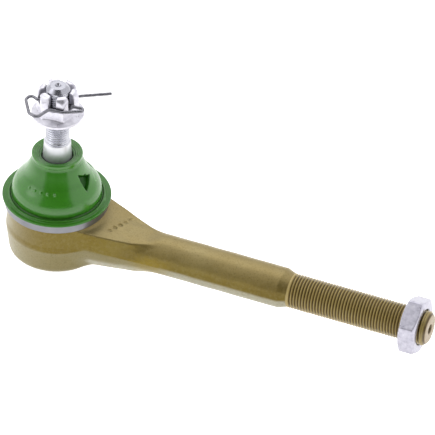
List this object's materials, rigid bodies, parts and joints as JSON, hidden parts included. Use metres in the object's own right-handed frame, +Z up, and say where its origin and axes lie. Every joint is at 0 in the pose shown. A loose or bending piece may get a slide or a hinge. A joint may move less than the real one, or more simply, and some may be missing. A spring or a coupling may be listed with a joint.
{
  "type": "tie rod end",
  "caption": "Steering tie rod end: ball stud with slotted nut and wire pin, green dust boot, forged arm and long threaded shank with jam nut.",
  "frame": {"origin": "centre of the stud's ball, where the housing axis and the shank axis cross", "axes": "+X along the shank to its threaded tip, +Z up the ball stud, +Y completes the right-handed frame"},
  "size_m": [0.2072, 0.0496, 0.102],
  "materials": {
    "forging_coat": "satin",
    "bearing_steel": "ground",
    "spring_steel": "satin",
    "cover_steel": "satin",
    "zinc_plate": "bright zinc",
    "stud_steel": "machined",
    "bright_ring": "turned",
    "green_urethane": "gloss"
  },
  "bodies": {
    "housing_body": {"housing": "forging_coat", "upper_bearing": "bearing_steel", "preload_spring": "spring_steel", "cover_plate": "cover_steel", "grease_fitting": "zinc_plate", "check_spring": "spring_steel", "dust_boot": "green_urethane", "boot_ring": "bright_ring"},
    "seat_body": {"lower_bearing": "bearing_steel"},
    "lip_body": {"boot_lip_ring": "spring_steel"},
    "stud_body": {"ball_stud": "stud_steel", "castle_nut": "zinc_plate", "locking_pin": "zinc_plate"},
    "jam_nut_body": {"jam_nut": "zinc_plate"},
    "check_ball_body": {"check_ball": "bearing_steel"}
  },
  "joints": [
    {"name": "swing_heading", "type": "hinge", "parent": "housing_body", "child": "seat_body", "pos_m": [0, 0, 0], "axis": [0, 0, 1], "continuous": true},
    {"name": "stud_lean", "type": "hinge", "parent": "seat_body", "child": "lip_body", "pos_m": [0, 0, 0], "axis": [0, 1, 0], "range_deg": [-20, 20], "deforming": ["dust_boot"]},
    {"name": "stud_turn", "type": "hinge", "parent": "lip_body", "child": "stud_body", "pos_m": [0, 0, 0], "axis": [0, 0, 1], "continuous": true},
    {"name": "jam_nut_travel", "type": "slide", "parent": "housing_body", "child": "jam_nut_body", "axis": [1, 0, 0], "range_m": [-0.053, 0]},
    {"name": "check_ball_push", "type": "slide", "parent": "housing_body", "child": "check_ball_body", "axis": [0, 0, 1], "range_m": [0, 0.0012], "stiffness_N_per_m": 300, "springref_m": -0.001, "deforming": ["check_spring"]}
  ]
}
